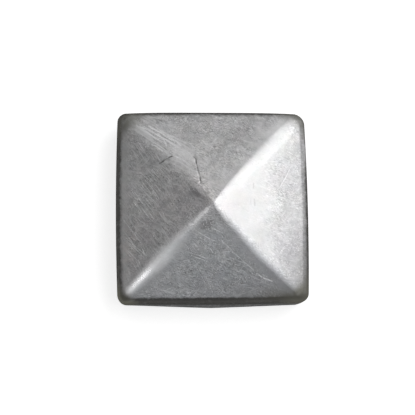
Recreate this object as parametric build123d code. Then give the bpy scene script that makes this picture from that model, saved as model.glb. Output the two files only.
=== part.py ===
from build123d import *
import math
import os

# Pressed steel pyramid cap for a square post, in millimetres.
# The origin is the middle of the rim plane and +Z runs up through the tip.

# The post and the sheet
post_width = 50.0        # square post that the cap slips over
post_clearance = 0.5     # gap on each side between the post and the skirt, at the corners
sheet = 1.5              # wall of the pressed blank

# Heights
skirt_height = 13.5      # rim to the line where skirt and roof would meet
roof_rise = 7.0          # that line to the point where the four roof faces would meet

# The punch, which the inner face follows
punch_radius = 1.1       # its upright corners, its hips and its tip
bend_ease = 0.1          # what the bend from skirt to roof has on top of that radius

# Springback: each side stands out in the middle, from its corners
side_bow = 0.5

# Bevel left on the trimmed edge by tumbling
rim_break = 0.25

# Sizes that follow
outer_half = post_width / 2 + post_clearance + sheet
face_x = outer_half + side_bow
pitch = math.atan2(roof_rise, face_x)
bow_radius = (outer_half**2 + side_bow**2) / (2 * side_bow)
bow_axis = Axis((face_x - bow_radius, 0, 0), (0, 0, 1))
overrun = 5.0            # how far each side's body runs on past the neighbours that trim it
tiny = 1e-3              # closer than this counts as touching


def side_profile(depth):
    # Upright section of one side, seen along it: skirt, bend and roof line, a depth under the outer face.
    face = face_x - depth
    eave = skirt_height - depth * (1 - math.sin(pitch)) / math.cos(pitch)
    back = -outer_half - overrun
    ridge = eave + (face - back) * math.tan(pitch)
    section = make_face(Polyline((back, 0), (face, 0), (face, eave), (back, ridge), close=True))
    bend = section.vertices().sort_by_distance((face, eave))[0]
    return fillet(bend, punch_radius + bend_ease + sheet - depth)


def side_body(depth):
    # One side turned about the far axis of its bow, so that skirt, bend and roof all share the bow.
    spread = math.degrees(math.asin((outer_half + overrun) / bow_radius))
    turned = revolve(Plane.XZ * side_profile(depth), bow_axis, 2 * spread)
    return turned.rotate(bow_axis, -spread)


def filled_skin(depth):
    # Everything inside the skin that lies a depth under the outer face: the four sides trim one
    # another, and one radius runs up each corner, over the bend and along the hip to the tip.
    side = side_body(depth)
    body = side
    for turn in (90, 180, 270):
        body = body & side.rotate(Axis.Z, turn)
    corners = [edge for edge in body.edges() if abs(abs(edge.center().X) - abs(edge.center().Y)) < tiny]
    return fillet(corners, punch_radius + sheet - depth)


cap = filled_skin(0) - filled_skin(sheet)
rim_edges = [edge for edge in cap.edges() if edge.bounding_box().max.Z < tiny]
cap = chamfer(rim_edges, rim_break)
cap.label = "cap"

os.makedirs("parts", exist_ok=True)
export_step(cap, "parts/cap.step")
print("cap volume", round(cap.volume, 1), "mm3, size", cap.bounding_box().size)
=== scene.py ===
import math
import bpy
import numpy as np
from mathutils import Matrix, Vector


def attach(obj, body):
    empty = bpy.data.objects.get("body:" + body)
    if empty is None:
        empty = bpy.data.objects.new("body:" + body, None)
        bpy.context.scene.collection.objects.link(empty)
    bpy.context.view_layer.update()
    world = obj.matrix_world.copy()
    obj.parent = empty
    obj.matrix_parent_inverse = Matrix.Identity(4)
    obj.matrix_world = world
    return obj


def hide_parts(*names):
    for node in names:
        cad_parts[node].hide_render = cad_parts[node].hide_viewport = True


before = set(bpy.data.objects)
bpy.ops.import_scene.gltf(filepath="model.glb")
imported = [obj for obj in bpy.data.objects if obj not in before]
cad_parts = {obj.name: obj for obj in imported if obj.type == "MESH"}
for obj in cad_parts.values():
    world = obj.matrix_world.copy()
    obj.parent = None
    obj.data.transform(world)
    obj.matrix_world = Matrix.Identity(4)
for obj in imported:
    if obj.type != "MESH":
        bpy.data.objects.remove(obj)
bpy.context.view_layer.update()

mm = 0.001

scene = bpy.context.scene
scene.view_settings.view_transform = "Standard"


# the pressed cap: one closed shell, outer skin, trimmed rim and inner skin, lengths in mm
capForm = {
    "halfWidth": 27.0,        # middle of the cap to a side, at the corners
    "bow": 0.5,               # how far a side stands out in its middle
    "skirtHeight": 13.5,
    "roofRise": 7.0,
    "roofBulge": 0.14,        # how far a roof face stands proud half way down
    "sheet": 1.5,
    "bendRadius": 2.7,        # skirt to roof, outside
    "cornerRadius": 2.6,      # upright corners, outside
    "hipRound": 4.0,          # plan radius that the hips tend to, away from the tip
    "tipBlunt": 0.16,
    "rimTuck": 0.5,           # how far the corners draw in at the rim
    "rimPoint": 0.9,          # how nearly the front bow runs to a point at the rim
    "backFlat": 2.0,          # how much flatter the back bow is in its middle
    "straightSpan": (-8, 12),  # the front eave turns straight between these, measured to the left
    "rightLean": 0.010,       # the right side runs in towards the back by this share
    "rightIn": 0.14,          # and both it and the left side stand in by so much
    "leftIn": 0.20,
    "rimBreak": 0.25,
    "perSide": 92,            # grid columns along one side
    "perCorner": 28,          # and round one corner
    "outerRows": (88, 20, 18),   # grid rows of roof, bend and skirt, outside
    "innerRows": (34, 9, 12),    # and inside
    "rimRows": (3, 5),        # grid rows of each break and of the flat between them
    "rowSpread": 1.1,         # how much closer the roof's rows lie by the tip
    "hipPlaces": (0.0, 0.30, 0.55, 0.70, 0.90, 0.97, 1.0),   # from the tip to the skirt
    "hips": {                 # share of the common radius at those places, for each corner
        (-1, -1): (1.0, 1.35, 1.70, 1.25, 0.78, 0.78, 0.88),
        (1, -1): (1.1, 0.92, 0.82, 0.70, 0.55, 0.75, 0.92),
        (1, 1): (1.0, 1.10, 1.20, 1.20, 1.00, 1.00, 1.18),
        (-1, 1): (1.0, 1.10, 1.20, 1.05, 0.72, 0.78, 0.88),
    },
    "driftPlaces": (0.0, 0.06, 0.30, 0.55, 0.70, 0.90, 1.0),
    "hipDrift": {             # how far the two front hips lie towards the front at those places
        (-1, -1): (0.0, 0.02, 0.05, 0.08, 0.34, 0.36, 0.0),
        (1, -1): (0.0, 0.55, 0.46, 0.70, 0.46, 0.22, 0.0),
    },
    "dents": [                # waves per mm along x and y, phase, height
        (0.030, 0.051, 0.3, 0.016), (-0.062, 0.034, 1.9, 0.012), (0.087, -0.071, 4.1, 0.007),
        (0.021, -0.118, 2.6, 0.005), (-0.134, -0.049, 5.2, 0.004)],
    "gouges": {               # the two deep scratches by the back left hip
        "depth": 0.05,
        "width": 0.20,
        "darkWidth": 0.34,    # half width of the dark line
        "paths": [            # over the plan
            [(-5.36, 13.5), (-4.85, 13.01), (-4.69, 11.69), (-4.27, 9.43), (-3.78, 7.55), (-3.66, 6.43),
             (-3.5, 5.54)],
            [(-14.93, 11.71), (-14.0, 12.22), (-13.69, 12.56), (-12.59, 13.22), (-11.49, 13.73)],
        ],
    },
}


def ease(value, low, high):
    # Smooth step from 0 at low to 1 at high.
    t = np.clip((value - low) / (high - low), 0, 1)
    return t * t * (3 - 2 * t)


def straightRuns(paths):
    # Every straight run of every path, as a pair of points.
    return [(a, b) for path in paths for a, b in zip(path[:-1], path[1:])]


def contourFrame(form):
    # One turn round a square with round corners, for any half width h and corner radius r:
    # point = (h - r) * reach + r * outward. Along a side reach slides from corner to corner,
    # round a corner outward turns by a quarter.
    run = np.linspace(-1, 1, form["perSide"], endpoint=False)
    turn = np.linspace(0, math.pi / 2, form["perCorner"], endpoint=False)
    along = np.concatenate([run, np.ones_like(turn)])
    angle = np.concatenate([np.zeros_like(run), turn])
    quarter = np.arange(4)[:, None] * math.pi / 2
    c, s = np.cos(quarter), np.sin(quarter)
    reach = np.stack([c - s * along, s + c * along], -1)
    outward = np.stack([np.cos(angle + quarter), np.sin(angle + quarter)], -1)
    return reach.reshape(-1, 2), outward.reshape(-1, 2)


def skinRows(form, depth, rows):
    # Section of one side at its middle, a depth under the outer face, from the tip down: the roof is a
    # hyperbola that blunts the tip, with a half sine of bulge on it, the bend an arc tangent to roof and
    # skirt, the skirt upright. The corner radius is half the half width times the hip's radius over the
    # sum of the two, and goes over to the upright corner's radius round the bend.
    roofRows, bendRows, skirtRows = rows
    faceX = form["halfWidth"] + form["bow"]
    pitch = math.atan2(form["roofRise"], faceX)
    eave = form["skirtHeight"] - depth * (1 - math.sin(pitch)) / math.cos(pitch)
    face = faceX - depth
    peak = form["skirtHeight"] + form["roofRise"] - depth / math.cos(pitch)
    radius = form["bendRadius"] - depth
    tangent = radius * math.tan((math.pi / 2 - pitch) / 2)
    bendX = face - tangent * math.cos(pitch)
    skirtTop = eave - tangent
    down = np.linspace(0, 1, roofRows + 1)[1:] ** form["rowSpread"]
    xRoof = bendX * down
    zRoof = peak - np.sqrt((xRoof * math.tan(pitch)) ** 2 + form["tipBlunt"] ** 2)
    zRoof = zRoof + form["roofBulge"] * np.sin(math.pi * down)
    swing = (math.pi / 2 - pitch) * (1 - np.linspace(0, 1, bendRows + 1)[1:])
    xBend = face - radius + radius * np.cos(swing)
    zBend = skirtTop + radius * np.sin(swing)
    zSkirt = np.linspace(skirtTop, form["rimBreak"], skirtRows + 1)[1:]
    x = np.concatenate([xRoof, xBend, np.full(skirtRows, face)])
    z = np.concatenate([zRoof, zBend, zSkirt])
    half = x - form["bow"] * (x / faceX) ** 2
    hip = half / 2 * form["hipRound"] / (half / 2 + form["hipRound"])
    bent = np.clip((x - bendX) / (face - bendX), 0, 1)
    soft = ease(bent, 0, 1)
    corner = hip * (1 - soft) + (form["cornerRadius"] - depth) * soft
    low = np.clip((skirtTop - z) / skirtTop, 0, 1)
    outer = np.full(len(x), 0.0 if depth > 0 else 1.0)
    return {"x": x, "z": z, "half": half, "corner": corner, "bent": bent, "low": low, "outer": outer}


def rimRows(form, outerLast, innerLast):
    # The trimmed edge: a rounded break down from the outer skirt, the flat of the sheet, and the same break
    # up to the inner skirt. Each row is a mix of the two skirts by how far across the sheet it lies.
    breakRows, flatRows = form["rimRows"]
    turn = np.linspace(0, 1, breakRows + 2)[1:-1] * math.pi / 2
    cut = form["rimBreak"] / form["sheet"]
    inward = cut * (1 - np.cos(turn))
    rise = form["rimBreak"] * (1 - np.sin(turn))
    across = np.concatenate([inward, np.linspace(cut, 1 - cut, flatRows), 1 - inward[::-1]])
    z = np.concatenate([rise, np.zeros(flatRows), rise[::-1]])
    mix = {k: outerLast[k] * (1 - across) + innerLast[k] * across for k in ("x", "half", "corner", "outer")}
    return {**mix, "z": z, "bent": np.ones_like(z), "low": np.ones_like(z)}


def dents(x, y, form):
    # Shallow unevenness of the pressing: a sum of slow sine waves over the plan, in mm.
    waves = np.array(form["dents"])
    phase = 2 * math.pi * (x[..., None] * waves[:, 0] + y[..., None] * waves[:, 1]) + waves[:, 2]
    return (np.sin(phase) * waves[:, 3]).sum(-1)


def grooves(x, y, gouges):
    # A bell-shaped furrow along each straight run of each path, by the distance to that run over the plan.
    deepest = np.zeros_like(x)
    for start, end in straightRuns(gouges["paths"]):
        run = np.subtract(end, start)
        fromX, fromY = x - start[0], y - start[1]
        share = np.clip((fromX * run[0] + fromY * run[1]) / (run @ run), 0, 1)
        away = np.hypot(fromX - share * run[0], fromY - share * run[1])
        deepest = np.maximum(deepest, np.exp(-(away / gouges["width"]) ** 2))
    return deepest


# where the finish and the painted shade and highlights change over the cap, lengths in mm
capFinish = {
    "spots": {                # bells over the plan: strength, middle, two sizes, turn in degrees
        # less painted shade in these spots of the bend, and full painted shade in the dark corner
        "palerBend": [
            (0.45, (27, 27), (6, 6), 0), (0.35, (-27, -27), (5, 5), 0), (0.60, (27, 16), (4.0, 5.5), 0)],
        "darkCorner": [(1.0, (-26.5, 26.5), (3.2, 3.2), 0)],
        # painted highlight and smoother steel along the front left hip
        "polishAndHighlight": [(1.0, (-21.4, -21.6), (6.3, 3.0), 45)],
        # painted shade along the eaves by the front right corner
        "eaveShadeFront": [(0.90, (19.0, -27.0), (10.0, 3.4), 0)],
        "eaveShadeRight": [(0.62, (27.0, -18.5), (2.6, 7.5), 0)],
        "scored": [(0.68, (-20, -4), (9, 20), 0), (0.30, (-4, 16), (12, 9), 0)],
        "unscored": [(0.70, (-18.3, -8.4), (3.5, 3.5), 0)],
        "scuffedLeft": [(1.0, (-13.0, 17.4), (11.5, 4.2), -37)],
        "scuffedRight": [(0.30, (15.0, 20.0), (8.0, 4.0), 30)],
        # lighter steel, partly rubbed and partly painted highlight beside the hips and by the tip
        "rubbedAndHighlight": [
            (0.45, (-10.8, 15.9), (3.4, 1.9), -32), (0.42, (-8.0, 14.9), (2.8, 2.0), -32),
            (0.20, (-6.4, 12.5), (2.5, 3.0), 0), (0.28, (14.8, 21.3), (3.5, 2.5), 0),
            (0.50, (18.8, 22.6), (4.0, 1.7), 45), (0.22, (2.6, 9.8), (5.0, 3.2), 0),
            (0.34, (-13.8, -16.0), (6.5, 1.8), 45), (0.35, (-3.4, -3.0), (2.6, 0.9), 45)],
        # bluish painted shade, a little rougher
        "dullAndShadeLeft": [(0.35, (-16, -13), (8, 4), 45), (0.55, (-20.5, 17.6), (4.5, 2.2), -42)],
        "dullAndShade": [
            (0.25, (10.0, 22.6), (3.0, 2.2), 0), (0.25, (25.5, 20.0), (2.5, 6.5), 0),
            (0.50, (25.8, 25.0), (3.2, 3.2), 0), (0.75, (25.6, -17.5), (2.8, 6.5), 0),
            (0.22, (19.7, -9.9), (4.5, 6.0), 0), (-0.15, (18.4, 0.0), (4.5, 3.0), 0),
            (0.30, (18.8, 7.4), (3.5, 3.5), 0), (0.25, (4.6, 23.0), (4.5, 2.4), 0),
            (0.25, (5.8, 15.0), (3.5, 2.0), 0), (0.80, (-18.6, -8.0), (3.5, 3.5), 0),
            (0.55, (-22.4, -19.4), (5.0, 1.8), 45), (0.35, (-8.5, -1.0), (4.0, 3.0), 0),
            (0.25, (-18.5, 20.6), (2.5, 2.0), 0), (-0.25, (-13.0, -21.5), (6.0, 3.0), 0)],
        "warm": [(1.0, (-5, 3), (10, 9), 0)],
        "rosy": [(1.0, (-24, -12), (3.5, 9), 0), (0.80, (-13.5, -3.5), (8, 3.0), 35)],
        "smudgeLeft": [(1.0, (-5.3, 3.2), (1.8, 1.6), -45)],
        "smudge": [
            (0.55, (-2.8, 1.0), (1.8, 1.2), -35), (1.0, (-1.8, -6.0), (2.3, 1.3), 20),
            (0.30, (9.5, 20.0), (5.0, 2.5), 0)],
        "worn": [(0.65, (-10.0, -25.0), (11.0, 1.1), 0)],
    },
    "skirtShadeSpan": {            # share of the bend where the painted shade starts and is full, for each side
        "right": (0.10, 0.95),
        "left": (0.0, 0.70),
        "back": (-0.10, 0.90),
        "front": (0.0, 0.45),
    },
    "shadeInCorners": {         # most painted shade in each corner, and the distances that it grows between
        "backLeft": (1.0, 42.5, 49.5),
        "backRight": (0.60, 43.8, 50.4),
        "frontRight": (0.85, 44.0, 51.0),
        "frontLeft": (1.0, 46.8, 51.5),
    },
}


def softSpot(x, y, at, size, turn):
    # A bell over the plan: one at its middle, fading with the square of the distance in its two sizes.
    c, s = math.cos(math.radians(turn)), math.sin(math.radians(turn))
    u = (x - at[0]) * c + (y - at[1]) * s
    v = (y - at[1]) * c - (x - at[0]) * s
    return np.exp(-(u / size[0]) ** 2 - (v / size[1]) ** 2)


def spotSum(x, y, name):
    # The bells of one list of spots, each as tall as its strength, added up.
    return sum(strength * softSpot(x, y, *shape) for strength, *shape in capFinish["spots"][name])


def skirtShadeMask(x, y, bent, low, outward):
    # Painted shade over the bend and skirt: a smooth step round the bend, mixed from the four sides' spans by
    # the squares of the outward direction, less in the paler spots of the bend and full in the back left
    # corner.
    facing = {"right": outward[:, 0], "left": -outward[:, 0], "back": outward[:, 1], "front": -outward[:, 1]}
    share = {side: np.clip(value, 0, 1) ** 2 for side, value in facing.items()}
    spans = capFinish["skirtShadeSpan"].items()
    starts, ends = (sum(share[side] * span[i] for side, span in spans) for i in (0, 1))
    offSkirt = 1 - ease(low, -0.02, 0.10)
    skirtShade = ease(bent, starts, ends) * (1 - spotSum(x, y, "palerBend") * offSkirt)
    return np.maximum(skirtShade, spotSum(x, y, "darkCorner") * ease(bent, 0.0, 0.35))


def cornerShadeMask(x, y, bent, low):
    # Olive-grey painted shade: in each corner a smooth step over the sum of both distances from the middle,
    # two spots along the eaves by the front right corner, and little of it down the skirt.
    out = np.abs(x) + np.abs(y)
    front, right = np.clip(0.5 - y / 8, 0, 1), np.clip(0.5 + x / 8, 0, 1)
    share = {
        "backLeft": (1 - front) * (1 - right) * (1 - 0.7 * bent),
        "backRight": (1 - front) * right,
        "frontRight": front * right,
        "frontLeft": front * (1 - right),
    }
    corners = capFinish["shadeInCorners"].items()
    cornerShade = sum(share[k] * most * ease(out, start, full) for k, (most, start, full) in corners)
    cornerShade = cornerShade + (spotSum(x, y, "eaveShadeFront") * front + spotSum(x, y, "eaveShadeRight")) * (1 - bent)
    return cornerShade * (1 - 0.8 * ease(low, 0.05, 0.6))


def polishedMask(x, y, onRight, onLeft):
    # Smooth steel: the largest of six bells and smooth steps.
    fromHip = (x - y) / math.sqrt(2)
    return np.max([
        # right face, by the back hip and by the tip
        onRight * np.exp(-(fromHip / 5.5) ** 2) * ease(-x, -25, -20),
        onRight * (1 - 0.68 * ease(x, 12, 21)),
        # hips: back right, front left, front right
        np.exp(-((fromHip + 0.8) / 2.8) ** 2) * ease(x + y, 2, 8) * ease(-x, -24, -19),
        np.exp(-((x - y - 1.2) / 4.2) ** 2) * ease(-x, 3, 9) * ease(-y, 3, 9),
        0.85 * np.exp(-((x + y + 2.5) / 3.4) ** 2) * ease(x, 2, 7) * ease(-y, 2, 7),
        # left eave
        0.8 * ease(-x, 22.8, 24.8) * onLeft,
    ], axis=0)


def dullAndShadeMask(x, y, onRight, onLeft):
    # Bluish painted shade, with a little more roughness: products of smooth steps over each of the four roof
    # faces, and spots added to them.
    fromHip = (x - y) / math.sqrt(2)
    onFront, onBack = ease(-y - np.abs(x), -1, 2), ease(y - np.abs(x), -1, 3)
    rightLower = ease(x, 14.5, 23.5) * ease(fromHip, 1.0, 5.5) * (0.42 + 0.58 * ease(-y, 2, 16))
    rightUpper = 0.14 * onRight * (1 - ease(x, 8, 14)) * ease(fromHip, 1.5, 4.0)
    leftFace = onLeft * (0.45 * (1 - ease(-x, 6, 20)) + spotSum(x, y, "dullAndShadeLeft"))
    frontFace = onFront * (0.50 + 0.20 * ease(x, -4, 12) + 0.20 * ease(-y, 13, 20))
    backFace = 0.20 * onBack * ease(y, 15, 20)
    return rightLower + rightUpper + leftFace + frontFace + backFace + spotSum(x, y, "dullAndShade")


def finishMasks(x, y, bent, low, outer, outward):
    # Where each finish lies, as shares from 0 to 1 on the points of the shell, from bells and smooth steps.
    onRight, onLeft = ease(x - np.abs(y), -1.0, 2.0), ease(-x - np.abs(y), -1.0, 2.0)
    ridge = np.exp(-((np.abs(x) - np.abs(y) + 0.5) / 1.7) ** 2)
    scuffedLeft = spotSum(x, y, "scuffedLeft") * ease(y + 0.93 * x, -0.6, 1.6)
    scuffedRight = spotSum(x, y, "scuffedRight") * ease(y - x, -1, 2)
    masks = {
        "skirtShade": skirtShadeMask(x, y, bent, low, outward),
        "polishAndHighlight": ridge * spotSum(x, y, "polishAndHighlight"),
        "cornerShade": cornerShadeMask(x, y, bent, low),
        "scored": (0.25 + spotSum(x, y, "scored")) * (1 - spotSum(x, y, "unscored")),
        "scuffed": scuffedLeft + scuffedRight,
        "polished": polishedMask(x, y, onRight, onLeft),
        "dullAndShade": dullAndShadeMask(x, y, onRight, onLeft),
        "cool": ease(-y - np.abs(x), -2.0, 2.0),
        "warm": spotSum(x, y, "warm"),
        "rosy": spotSum(x, y, "rosy"),
        "smudge": spotSum(x, y, "smudgeLeft") * ease(-x - y, 0.0, 1.5) + spotSum(x, y, "smudge"),
        "worn": spotSum(x, y, "worn") * (1 - ease(bent, 0.3, 0.6)),
        "leftFace": onLeft,
        "skirt": ease(low, 0.03, 0.35),
        "rubbedAndHighlight": spotSum(x, y, "rubbedAndHighlight"),
    }
    everywhere = np.ones_like(x)
    masks = {k: np.clip(v * everywhere, 0, 1) * outer for k, v in masks.items()}
    masks["inside"] = (1 - outer) * everywhere
    masks["cutEdge"] = np.clip(4 * outer * (1 - outer), 0, 1) * everywhere
    return masks


def capShell(form):
    # Every row of the section carried round the square: the row gives half width, corner radius, bow and
    # height, the column gives the place along the contour. The hips take their shares of the radius and
    # their drift by the place between tip and skirt. The bow is a parabola that fades at the corners, of a
    # higher power and so flatter at the back; towards the rim the corners tuck in, and the front bow runs
    # to a slight point. The left half of the front eave is straight, and the right side leans.
    outer = skinRows(form, 0.0, form["outerRows"])
    inner = {k: v[::-1] for k, v in skinRows(form, form["sheet"], form["innerRows"]).items()}
    edge = rimRows(form, {k: v[-1] for k, v in outer.items()}, {k: v[0] for k, v in inner.items()})
    row = {k: np.concatenate([outer[k], edge[k], inner[k]])[:, None] for k in outer}
    reach, outward = contourFrame(form)
    toBack, toFront = np.clip(outward[:, 1], 0, 1), np.clip(-outward[:, 1], 0, 1)
    half = row["half"] - form["rimTuck"] * row["low"] ** 1.5
    place = np.clip(row["half"] / form["halfWidth"], 0, 1)
    near = {side: np.clip(reach @ np.array(side) / 2, 0, 1) ** 2 for side in form["hips"]}
    corner = row["corner"]
    for side, shares in form["hips"].items():
        corner = corner + row["corner"] * near[side] * (np.interp(place, form["hipPlaces"], shares) - 1)
    plan = (half - corner)[..., None] * reach + corner[..., None] * outward
    for side, drift in form["hipDrift"].items():
        across = np.array([-side[0], -1]) / math.sqrt(2)
        plan = plan + (np.interp(place, form["driftPlaces"], drift) * near[side])[..., None] * across
    planX, planY = plan[..., 0], plan[..., 1]
    bow = row["x"] - half
    power = 2 - form["rimPoint"] * toFront * row["low"] ** 0.7 + form["backFlat"] * toBack
    px = planX + bow * (1 - np.clip(np.abs(planY) / half, 0, 1) ** power) * outward[:, 0]
    py = planY + bow * (1 - np.clip(np.abs(planX) / half, 0, 1) ** power) * outward[:, 1]
    straight = ease(-px, *form["straightSpan"]) * (1 - row["low"]) * toFront ** 0.5
    py = py * (1 - straight) + planY * (1 + bow / half) * straight
    px = px - np.clip(px / form["halfWidth"], 0, 1) ** 2 * (form["rightLean"] * py + form["rightIn"])
    px = px + np.clip(-px / form["halfWidth"], 0, 1) ** 2 * form["leftIn"]
    onRoof = np.clip(half / 4, 0, 1) * (1 - ease(row["bent"], 0, 0.6))
    cut = form["gouges"]["depth"] * grooves(px, py, form["gouges"])
    pz = row["z"] + dents(px, py, form) * onRoof - cut * onRoof * row["outer"]
    masks = finishMasks(px, py, row["bent"], row["low"], row["outer"], outward)
    return np.stack([px, py, pz], -1), masks


def shellMesh(name, points, masks, topZ, underZ):
    # Grid of rows and columns closed round the columns, with one point on each pole.
    rows, cols = points.shape[:2]
    verts = np.concatenate([[[0, 0, topZ]], points.reshape(-1, 3), [[0, 0, underZ]]]) * mm
    ring = np.arange(cols)
    nxt = (ring + 1) % cols
    start = 1 + np.arange(rows - 1)[:, None] * cols
    quads = np.stack([start + ring, start + cols + ring, start + cols + nxt, start + nxt], -1).reshape(-1, 4)
    last = 1 + (rows - 1) * cols
    crown = np.stack([np.zeros(cols, int), 1 + ring, 1 + nxt], -1)
    hollow = np.stack([np.full(cols, len(verts) - 1), last + nxt, last + ring], -1)
    mesh = bpy.data.meshes.new(name)
    mesh.from_pydata(verts.tolist(), [], crown.tolist() + quads.tolist() + hollow.tolist())
    mesh.polygons.foreach_set("use_smooth", np.ones(len(mesh.polygons), bool))
    for key, value in masks.items():
        flat = np.concatenate([value[0, :1], value.reshape(-1), value[-1, :1]]).astype(np.float32)
        mesh.attributes.new(key, "FLOAT", "POINT").data.foreach_set("value", flat)
    mesh.update()
    mesh.validate()
    piece = bpy.data.objects.new(name, mesh)
    scene.collection.objects.link(piece)
    return piece


points, masks = capShell(capForm)
topZ = capForm["skirtHeight"] + capForm["roofRise"] - capForm["tipBlunt"]
pitch = math.atan2(capForm["roofRise"], capForm["halfWidth"] + capForm["bow"])
capPiece = shellMesh("pressedCap", points, masks, topZ, topZ - capForm["sheet"] / math.cos(pitch))
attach(capPiece, "root")
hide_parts("cap")
print("cap shell:", len(capPiece.data.vertices), "points,", len(capPiece.data.polygons), "faces")


# the finish: bare pressed steel, scored and scuffed on the roof, with painted shade over bend, skirt and
# corners and painted highlights on the hips
steelLook = {
    "bare": (0.60, 0.60, 0.60),
    "bareSpread": 0.05,                # how far it is lighter and darker in patches
    "cool": (0.575, 0.60, 0.62),       # the front face
    "warm": (0.61, 0.59, 0.59),        # round the tip
    "rosy": (0.61, 0.585, 0.58),       # faint heat tint on the left
    "skirtShade": (0.105, 0.103, 0.099),    # painted shade on the skirt and outer half of the bend
    "inside": (0.26, 0.26, 0.255),
    "cornerShade": (0.185, 0.181, 0.155),    # painted shade, grey-green, in the corners
    "smudge": (0.24, 0.232, 0.235),
    "bluishShade": (0.262, 0.252, 0.285),     # bluish painted shade over parts of the roof
    # near white, for scuffs, scores, specks and worn flecks, and for the painted highlights on the hips
    "scuff": (0.98, 0.98, 0.99),
    "gouge": (0.14, 0.14, 0.14),
    "tinge": (0.09, 0.05, 0.09),       # how far red, green and blue wander
    "edgeTint": 0.09,
    "mottle": 1.45,                    # how far the grain and the blotches darken and lighten the steel
    "roughness": 0.30,
    "rougherBy": {"skirtShade": 0.26, "inside": 0.12, "dullAndShade": 0.05, "cornerShade": 0.06, "polishAndHighlight": -0.08},
    "grainDepth": 0.010,               # mm
    "scoreDepth": 0.040,
    "coats": {                         # how strongly each coat covers where it is full
        "cool": 0.8, "warm": 0.7, "smudge": 0.62, "bluishShade": 0.40, "darkScores": 0.30, "scuffed": 0.20,
        "leftScores": 0.9, "crossScores": 0.35, "polishAndHighlight": 0.72, "cutEdge": 0.5,
    },
    "strokes": {                       # brushed grain: turn in degrees, sizes in mm
        "roof": (-28, (1.05, 0.22, 0.5)),
        "left": (-54, (0.95, 0.20, 0.5)),
    },
    "noises": {                        # waves per mm, detail, roughness
        "wander": (0.09, 1.0, 0.5),    # slow bending of grain and scores
        "shaky": (0.50, 2.0, 0.5),     # quick waver of single scratches
        "blotches": (0.55, 3.0, 0.6),
        "patches": (0.17, 3.0, 0.6),
        "often": (0.30, 2.0, 0.6),     # where scores and specks lie closer together
        "gritty": (0.20, 2.0, 0.6),    # where the grain is stronger
        "tinge": (0.28, 2.0, 0.6),
        "gaps": (0.80, 2.0, 0.6),      # in the gouges
        "specks": (2.90, 1.0, 0.5),
        "uneven": (0.70, 2.0, 0.6),    # border of the drawn steel
        "brushed": (1.0, 2.0, 0.65),   # this and the rest on stretched places
        "scores": (1.0, 1.0, 0.5),
        "drawLines": (1.0, 2.0, 0.6),
        "wornFlecks": (1.0, 2.0, 0.7),
    },
    "limits": {                        # noise where these start and are full, and what they run from and to
        "often": (0.40, 0.60),
        "gritty": (0.40, 0.60, 0.25, 1.8),
        "gaps": (0.35, 0.60, 0.25, 1.0),
        "specks": (0.56, 0.68),
        "wornFlecks": (0.56, 0.64),
    },
    "lineScale": (2.2, 2.2, 0.12),     # places stretched for the upright lines of the skirt
    "fleckScale": (0.8, 1.7, 1.7),     # and for the worn flecks
    "wanderBy": (4.0, 4.0, 0.0),       # mm
    "shakyBy": (0.7, 0.7, 0.0),
    "pitShift": (50, 50, 50),          # from the specks to the pits, so that they lie apart
    "scores": {                        # strength, turn, length, width, crests they start and are full at, seed
        "left": [(1.0, -56, 7.0, 0.45, 0.53, 0.66, 3.0), (0.9, -46, 9.0, 0.42, 0.53, 0.66, 17.0)],
        "cross": [(1.0, 58, 6.0, 0.50, 0.60, 0.74, 11.0), (1.0, 14, 7.0, 0.50, 0.60, 0.74, 41.0),
                  (1.0, -20, 7.0, 0.50, 0.57, 0.70, 83.0)],
        "dark": [(1.0, -62, 6.0, 0.50, 0.60, 0.74, 57.0), (1.0, -15, 7.0, 0.50, 0.58, 0.74, 71.0)],
        "scuff": [(1.0, -32, 16.0, 0.75, 0.46, 0.62, 27.0), (0.7, -38, 10.0, 1.3, 0.45, 0.62, 61.0)],
    },
    "lightMarks": {                    # single bright scratches in mm: half width, strength, path
        "right": (0.26, 0.42, [(22.2, 11.2), (21.45, 9.5), (18.88, 5.05)]),
        "front": (0.29, 0.42, [(2.52, -10.55), (7.43, -15.18), (11.67, -18.73)]),
        "frontLower": (0.32, 0.65, [(12.8, -19.83), (16.47, -21.47)]),
        "backLeft1": (0.46, 0.8, [(-21.4, 23.4), (-20.8, 22.6), (-18.8, 22.1), (-16.8, 20.9), (-14.6, 19.7)]),
        "backLeft2": (0.52, 1.0, [(-17.8, 22.8), (-15.5, 21.4), (-13.9, 20.7), (-13.0, 19.7), (-11.4, 18.7)]),
        "backLeft3": (0.48, 1.0, [(-12.5, 19.9), (-10.3, 18.4), (-8.9, 17.0)]),
        "backLeft4": (0.46, 0.9, [(-15.5, 20.4), (-13.9, 19.3), (-13.0, 16.8)]),
        "backLeft5": (0.48, 0.9, [(-17.1, 17.3), (-15.9, 17.0), (-14.9, 16.3), (-14.1, 15.3)]),
        "backLeft6": (0.42, 0.6, [(-23.7, 21.9), (-22.0, 21.8), (-19.6, 20.0)]),
        "backLeft7": (0.40, 0.8, [(-14.1, 20.7), (-12.2, 19.6), (-10.5, 18.0)]),
        "back": (0.40, 0.7, [(-6.7, 17.9), (-5.2, 16.4)]),
        "left1": (0.18, 0.8, [(-24.98, -4.04), (-20.23, -10.75)]),
        "left2": (0.18, 0.7, [(-24.4, -9.2), (-18.8, -14.2)]),
        "left3": (0.16, 0.6, [(-22.5, -2.7), (-17.7, -6.6)]),
        "left4": (0.16, 0.6, [(-23.9, 6.2), (-18.8, -0.3)]),
        "leftNick": (0.45, 0.9, [(-16.57, 4.17), (-16.85, 3.04)]),
        "byGouge": (0.60, 0.6, [(-13.4, 12.2), (-12.3, 11.9)]),
        "byTip": (0.70, 0.6, [(-1.5, -1.9), (-5.0, -5.2)]),
    },
    "darkMarks": {                     # faint dark flecks on the right face, in the same way
        "fleck1": (0.30, 0.30, [(11.4, 5.9), (11.3, 4.6)]),
        "fleck2": (0.30, 0.35, [(11.5, 1.5), (11.8, -0.6)]),
        "fleck3": (0.26, 0.25, [(10.5, 0.9), (10.6, -0.2)]),
    },
}


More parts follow.
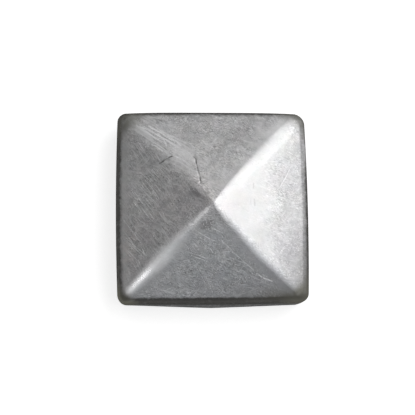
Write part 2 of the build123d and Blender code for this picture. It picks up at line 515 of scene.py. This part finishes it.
def addNode(tree, kind, inputs=None, **settings):
    # A node with its settings; an input is linked if it is a socket and else set.
    node = tree.nodes.new("ShaderNode" + kind)
    for key, value in settings.items():
        setattr(node, key, value)
    for key, value in (inputs or {}).items():
        if isinstance(value, bpy.types.NodeSocket):
            tree.links.new(value, node.inputs[key])
        else:
            node.inputs[key].default_value = value
    return node


def calc(tree, operation, *values):
    # The result of one math node.
    return addNode(tree, "Math", dict(enumerate(values)), operation=operation).outputs[0]


def vectorCalc(tree, operation, *values):
    # One vector math node.
    return addNode(tree, "VectorMath", dict(enumerate(values)), operation=operation)


def fitRange(tree, value, low, high, toLow=0.0, toHigh=1.0):
    # Smooth step from toLow at low to toHigh at high.
    inputs = {0: value, 1: low, 2: high, 3: toLow, 4: toHigh}
    return addNode(tree, "MapRange", inputs, interpolation_type="SMOOTHSTEP").outputs[0]


def blend(tree, share, first, second):
    # The first colour at a share of 0, the second at 1.
    first, second = (v if isinstance(v, bpy.types.NodeSocket) else (*v, 1) for v in (first, second))
    return addNode(tree, "Mix", {0: share, 6: first, 7: second}, data_type="RGBA").outputs[2]


def markNode(tree, place, start, end, width):
    # One at the middle line of a straight run and zero a half width away from it.
    start, end = Vector((*start, 0)), Vector((*end, 0))
    run = end - start
    fromStart = vectorCalc(tree, "SUBTRACT", place, start).outputs[0]
    share = vectorCalc(tree, "DOT_PRODUCT", fromStart, run / run.length_squared).outputs["Value"]
    share = calc(tree, "MINIMUM", calc(tree, "MAXIMUM", share, 0.0), 1.0)
    along = addNode(tree, "VectorMath", {0: run, "Scale": share}, operation="SCALE").outputs[0]
    across = vectorCalc(tree, "SUBTRACT", fromStart, along).outputs[0]
    away = vectorCalc(tree, "LENGTH", across).outputs["Value"]
    return fitRange(tree, away, 0.0, width, 1.0, 0.0)


def steelMaterial(look, maskNames, gouges):
    # One metallic shader: coats of colour by the masks and the procedural marks, then roughness and relief.
    material = bpy.data.materials.new("bareSteel")
    material.use_nodes = True
    tree = material.node_tree
    shader = tree.nodes["Principled BSDF"]
    shader.inputs["Metallic"].default_value = 1.0
    shader.inputs["Specular Tint"].default_value = (look["edgeTint"],) * 3 + (1,)
    coats, noises, limits = look["coats"], look["noises"], look["limits"]
    mask = {k: addNode(tree, "Attribute", attribute_name=k).outputs["Fac"] for k in maskNames}
    place = addNode(tree, "TexCoord").outputs["Object"]

    def sized(vector, scale):
        # a place times a scale
        return addNode(tree, "Mapping", {"Vector": vector, "Scale": scale}).outputs[0]

    def turned(vector, turn, size, seed=0.0):
        # a place turned and divided by sizes in mm, so that a noise on it is stretched that way
        inputs = {"Vector": vector, "Location": (seed, seed, 0), "Scale": size}
        inputs["Rotation"] = (0, 0, math.radians(turn))
        return addNode(tree, "Mapping", inputs, vector_type="TEXTURE").outputs[0]

    def noise(vector, scale, detail, rough, kind="Fac"):
        inputs = {"Vector": vector, "Scale": scale, "Detail": detail, "Roughness": rough}
        return addNode(tree, "TexNoise", inputs).outputs[kind]

    def chain(operation, values):
        # one operation carried through all the values
        total = values[0]
        for value in values[1:]:
            total = calc(tree, operation, total, value)
        return total

    def times(*values):
        return chain("MULTIPLY", values)

    def largest(*values):
        return chain("MAXIMUM", values)

    def plus(first, second):
        return calc(tree, "ADD", first, second)

    def stretch(value, factor, start):
        # the value times a factor, from a start
        return calc(tree, "MULTIPLY_ADD", value, factor, start)

    def without(value, share=1.0):
        # one less a share of the value
        return stretch(value, -share, 1.0)

    def centred(value):
        return calc(tree, "SUBTRACT", value, 0.5)

    def fit(value, *ends):
        return fitRange(tree, value, *ends)

    def swayed(name, reach, start):
        # a vector moved about by a noise, as far as the reach
        sway = vectorCalc(tree, "SUBTRACT", noise(inMm, *noises[name], "Color"), (0.5, 0.5, 0.5)).outputs[0]
        return vectorCalc(tree, "MULTIPLY_ADD", sway, reach, start).outputs[0]

    def shareOf(name, vector):
        # a noise brought to its limits
        return fit(noise(vector, *noises[name]), *limits[name])

    def flat(vector):
        # a place brought down to the plan
        return vectorCalc(tree, "MULTIPLY", vector, (1, 1, 0)).outputs[0]

    inMm = sized(place, (1 / mm,) * 3)
    bending = swayed("wander", look["wanderBy"], inMm)
    overPlan, flatPlan = flat(bending), flat(inMm)
    nearPlan = swayed("shaky", look["shakyBy"], flatPlan)

    def scores(name):
        # thin straight lines: the crests of noises that are each stretched along one direction
        lines = []
        for strength, turn, long, wide, low, high, seed in look["scores"][name]:
            lie = turned(overPlan, turn, (long, wide, 1), seed)
            lines.append(times(fit(noise(lie, *noises["scores"]), low, high), strength))
        return largest(*lines)

    def along(marks):
        # the strongest of a set of single marks
        return largest(*(times(markNode(tree, nearPlan, a, b, width), strength)
                         for width, strength, path in marks.values() for a, b in straightRuns([path])))

    # grain and marks
    outside = without(mask["inside"])
    rougher = times(without(mask["polished"], 0.85), without(mask["polishAndHighlight"], 0.7))
    brushed = {k: noise(turned(bending, *stroke), *noises["brushed"]) for k, stroke in look["strokes"].items()}
    grain = addNode(tree, "Mix", {0: mask["leftFace"], 2: brushed["roof"], 3: brushed["left"]}).outputs[0]
    blotches, patches = noise(inMm, *noises["blotches"]), noise(inMm, *noises["patches"])
    often = shareOf("often", inMm)
    seldom = without(often)
    leftScores = times(scores("left"), mask["scored"], stretch(mask["leftFace"], 0.6, 0.4))
    leftScores = times(leftScores, stretch(often, 0.6, 0.4), rougher)
    crossScores = times(scores("cross"), stretch(seldom, 0.7, 0.3), outside, rougher)
    darkScores = times(scores("dark"), outside, rougher)
    scuffs = times(scores("scuff"), mask["scuffed"])
    drawLines = times(noise(sized(inMm, look["lineScale"]), *noises["drawLines"]), mask["skirtShade"])
    single = times(along(look["lightMarks"]), fit(grain, 0.30, 0.52, 0.45, 1.0), outside)
    runs = straightRuns(gouges["paths"])
    gouge = largest(*(markNode(tree, flatPlan, a, b, gouges["darkWidth"]) for a, b in runs))
    gouge = times(gouge, shareOf("gaps", inMm), outside)
    specks = times(shareOf("specks", inMm), outside, rougher, without(mask["skirtShade"]))
    elsewhere = vectorCalc(tree, "ADD", inMm, look["pitShift"]).outputs[0]
    pits = times(shareOf("specks", elsewhere), outside, rougher)
    wornFlecks = shareOf("wornFlecks", sized(inMm, look["fleckScale"]))

    # colour of the bare steel
    darker = tuple(c * (1 - look["bareSpread"]) for c in look["bare"])
    lighter = tuple(c * (1 + look["bareSpread"]) for c in look["bare"])
    colour = blend(tree, fit(patches, 0.3, 0.7), darker, lighter)
    for key in ("cool", "warm"):
        colour = blend(tree, times(mask[key], coats[key]), colour, look[key])
    colour = blend(tree, times(mask["rosy"], fit(blotches, 0.35, 0.55)), colour, look["rosy"])
    mottle = times(centred(grain), shareOf("gritty", inMm), without(mask["leftFace"], 0.25))
    mottle = plus(mottle, times(centred(blotches), 0.8))
    mottle = stretch(times(mottle, rougher), look["mottle"], 1.0)
    colour = addNode(tree, "VectorMath", {0: colour, "Scale": mottle}, operation="SCALE").outputs[0]
    colour = vectorCalc(tree, "MULTIPLY", colour, swayed("tinge", look["tinge"], (1, 1, 1))).outputs[0]

    # smudges, bluish painted shade and dark marks, then bright marks and painted highlights, then the gouges
    spots = fit(stretch(centred(blotches), 1.2, mask["smudge"]), 0.25, 0.65)
    smudged = times(spots, fit(mask["smudge"], 0.0, 0.15), coats["smudge"])
    colour = blend(tree, smudged, colour, look["smudge"])
    # bluish painted shade
    colour = blend(tree, times(mask["dullAndShade"], coats["bluishShade"]), colour, look["bluishShade"])
    dark = largest(times(darkScores, coats["darkScores"]), times(along(look["darkMarks"]), outside))
    colour = blend(tree, dark, colour, look["smudge"])
    colour = blend(tree, times(pits, stretch(often, 0.40, 0.20)), colour, look["smudge"])
    # bright marks, with the painted highlight of the rubbed spots
    bright = largest(
        times(specks, stretch(often, 0.40, 0.22)), scuffs, times(mask["scuffed"], coats["scuffed"]),
        mask["rubbedAndHighlight"], single,
        times(leftScores, coats["leftScores"]), times(crossScores, coats["crossScores"]))
    colour = blend(tree, bright, colour, look["scuff"])
    # painted highlight along the front left hip
    colour = blend(tree, times(mask["polishAndHighlight"], coats["polishAndHighlight"]), colour, look["scuff"])
    colour = blend(tree, gouge, colour, look["gouge"])

    # painted shade of the bend and skirt with an uneven border and faint upright lines, painted shade in the
    # corners, worn flecks, inside and cut edge
    uneven = plus(times(centred(noise(inMm, *noises["uneven"])), 0.9), times(centred(grain), 0.4))
    darkened = plus(times(uneven, without(mask["skirt"])), mask["skirtShade"])
    darkened = times(fit(darkened, 0.0, 1.0), fit(mask["skirtShade"], 0.0, 0.08))
    darkened = stretch(mask["skirt"], fit(drawLines, 0.3, 0.7, -0.40, -0.20), darkened)
    colour = blend(tree, darkened, colour, look["skirtShade"])
    # olive-grey painted shade in the corners
    colour = blend(tree, times(mask["cornerShade"], fit(patches, 0.25, 0.6, 0.55, 1.0)), colour, look["cornerShade"])
    colour = blend(tree, times(mask["worn"], wornFlecks), colour, look["scuff"])
    colour = blend(tree, mask["inside"], colour, look["inside"])
    colour = blend(tree, times(mask["cutEdge"], coats["cutEdge"]), colour, look["bare"])
    tree.links.new(colour, shader.inputs["Base Color"])

    # roughness
    rough = plus(look["roughness"], fit(patches, 0.3, 0.7, -0.02, 0.04))
    for key, more in look["rougherBy"].items():
        rough = stretch(mask[key], more, rough)
    tree.links.new(rough, shader.inputs["Roughness"])

    # fine relief
    fine = {"Strength": rougher, "Distance": look["grainDepth"] * mm, "Height": plus(grain, drawLines)}
    relief = addNode(tree, "Bump", fine).outputs[0]
    cuts = largest(leftScores, times(largest(crossScores, darkScores), 0.4), scuffs, single)
    deep = {"Distance": look["scoreDepth"] * mm, "Height": cuts, "Normal": relief}
    tree.links.new(addNode(tree, "Bump", deep, invert=True).outputs[0], shader.inputs["Normal"])
    return material


capPiece.data.materials.append(steelMaterial(steelLook, masks, capForm["gouges"]))
print("bare steel laid on")


# pale floor, soft light
studio = {
    "floorHalf": 1.5,
    "floorDrop": 2e-5,             # under the rim plane
    "floorTone": 0.88,
    "floorGlow": 0.66,
    "sky": 0.355,
    "horizon": 0.52,
    "fade": (0.05, 0.8),           # heights that the room falls between, from horizon to sky
    "leanTo": (0.56, 0.34, 0.0),   # the room is lighter that way
    "leanBy": 1.0,
    "lamps": {
        "softBox": {"towards": (0.38, 0.31, 0.87), "distance": 0.7, "size": 0.46, "radiance": 1.61},
        "sideBox": {"towards": (0.36, -0.09, 0.928), "distance": 0.7, "size": 0.25, "radiance": 1.25},
        "overhead": {"towards": (-0.22, -0.11, 0.97), "distance": 0.9, "size": 0.34, "radiance": 0.40},
        "spot": {"towards": (-0.25, -0.14, 0.957), "distance": 0.9, "size": 0.10, "radiance": 2.7},
    },
}


def floorMaterial(setup):
    # A pale diffuse floor that glows a little where it is seen, and is clear from underneath.
    material = bpy.data.materials.new("paleFloor")
    material.use_nodes = True
    tree = material.node_tree
    tree.nodes.clear()
    diffuse = addNode(tree, "BsdfDiffuse", {"Color": (setup["floorTone"],) * 3 + (1,)}).outputs[0]
    glow = addNode(tree, "Emission", {"Strength": setup["floorGlow"]}).outputs[0]
    path = addNode(tree, "LightPath").outputs
    seen = calc(tree, "MAXIMUM", path["Is Camera Ray"], path["Is Glossy Ray"])
    seen = calc(tree, "MAXIMUM", seen, path["Is Transmission Ray"])
    white = addNode(tree, "AddShader", {0: diffuse, 1: glow}).outputs[0]
    mix = addNode(tree, "MixShader", {0: seen, 1: diffuse, 2: white}).outputs[0]
    below = addNode(tree, "NewGeometry").outputs["Backfacing"]
    clear = addNode(tree, "BsdfTransparent").outputs[0]
    mix = addNode(tree, "MixShader", {0: below, 1: mix, 2: clear}).outputs[0]
    addNode(tree, "OutputMaterial", {"Surface": mix})
    return material


def makeFloor(setup):
    # A flat square just under the rim plane.
    h, z = setup["floorHalf"], -setup["floorDrop"]
    mesh = bpy.data.meshes.new("floor")
    mesh.from_pydata([(-h, -h, z), (h, -h, z), (h, h, z), (-h, h, z)], [], [(0, 1, 2, 3)])
    floor = bpy.data.objects.new("floor", mesh)
    floor.data.materials.append(floorMaterial(setup))
    scene.collection.objects.link(floor)


def makeRoom(setup):
    # Grey that falls from the horizon to overhead, and is lighter towards one side.
    world = bpy.data.worlds.new("softRoom")
    scene.world = world
    world.use_nodes = True
    tree = world.node_tree
    facing = addNode(tree, "TexCoord").outputs["Generated"]
    height = addNode(tree, "SeparateXYZ", {0: facing}).outputs["Z"]
    level = fitRange(tree, height, *setup["fade"], setup["horizon"], setup["sky"])
    lean = vectorCalc(tree, "DOT_PRODUCT", facing, setup["leanTo"]).outputs["Value"]
    lean = calc(tree, "MULTIPLY_ADD", lean, setup["leanBy"], 1.0)
    tree.links.new(calc(tree, "MULTIPLY", level, lean), tree.nodes["Background"].inputs["Strength"])
    tree.nodes["Background"].inputs["Color"].default_value = (1, 1, 1, 1)


def makeLamp(name, lampSet):
    # A round lamp turned to the middle; its power is radiance times pi times its area.
    towards = Vector(lampSet["towards"]).normalized()
    lamp = bpy.data.lights.new(name, "AREA")
    lamp.shape = "DISK"
    lamp.size = lampSet["size"]
    lamp.energy = lampSet["radiance"] * math.pi * math.pi * (lampSet["size"] / 2) ** 2
    holder = bpy.data.objects.new(name, lamp)
    holder.location = towards * lampSet["distance"]
    holder.rotation_mode = "QUATERNION"
    holder.rotation_quaternion = towards.to_track_quat("Z", "Y")
    scene.collection.objects.link(holder)


makeFloor(studio)
makeRoom(studio)
for lampName, lampSet in studio["lamps"].items():
    makeLamp(lampName, lampSet)
print("floor and lamps set")


# the camera looks down almost along the axis, a little from the front left
cameraSeat = {
    "tilt": 9.8,                # degrees from straight down
    "swing": -18.4,             # degrees round from the front, left is minus
    "roll": -18.2,
    "distance": 480.0,          # mm from the middle of the rim plane
    "pixelsPerMm": 3.437,       # at that distance, in a frame 415 wide
    "axisAt": (209.9, 214.05),  # where the middle of the rim plane falls in the frame
    "frameWidth": 415,
    "sensor": 36.0,
}


def makeCamera(seat):
    # The camera sits back along its axis; lens and shift put the rim plane's middle at its place.
    tilt, swing, roll = (math.radians(seat[k]) for k in ("tilt", "swing", "roll"))
    back = Vector((math.sin(tilt) * math.sin(swing), -math.sin(tilt) * math.cos(swing), math.cos(tilt)))
    level = Vector((math.cos(swing), math.sin(swing), 0))
    rise = back.cross(level)
    right = level * math.cos(roll) - rise * math.sin(roll)
    up = level * math.sin(roll) + rise * math.cos(roll)
    lens = bpy.data.cameras.new("camera")
    lens.sensor_width = seat["sensor"]
    lens.lens = seat["sensor"] * seat["distance"] * seat["pixelsPerMm"] / seat["frameWidth"]
    lens.shift_x = (seat["frameWidth"] / 2 - seat["axisAt"][0]) / seat["frameWidth"]
    lens.shift_y = (seat["axisAt"][1] - seat["frameWidth"] / 2) / seat["frameWidth"]
    camera = bpy.data.objects.new("camera", lens)
    turn = Matrix((right, up, back)).transposed().to_4x4()
    camera.matrix_world = Matrix.Translation(back * seat["distance"] * mm) @ turn
    scene.collection.objects.link(camera)
    scene.camera = camera


makeCamera(cameraSeat)
print("camera placed")
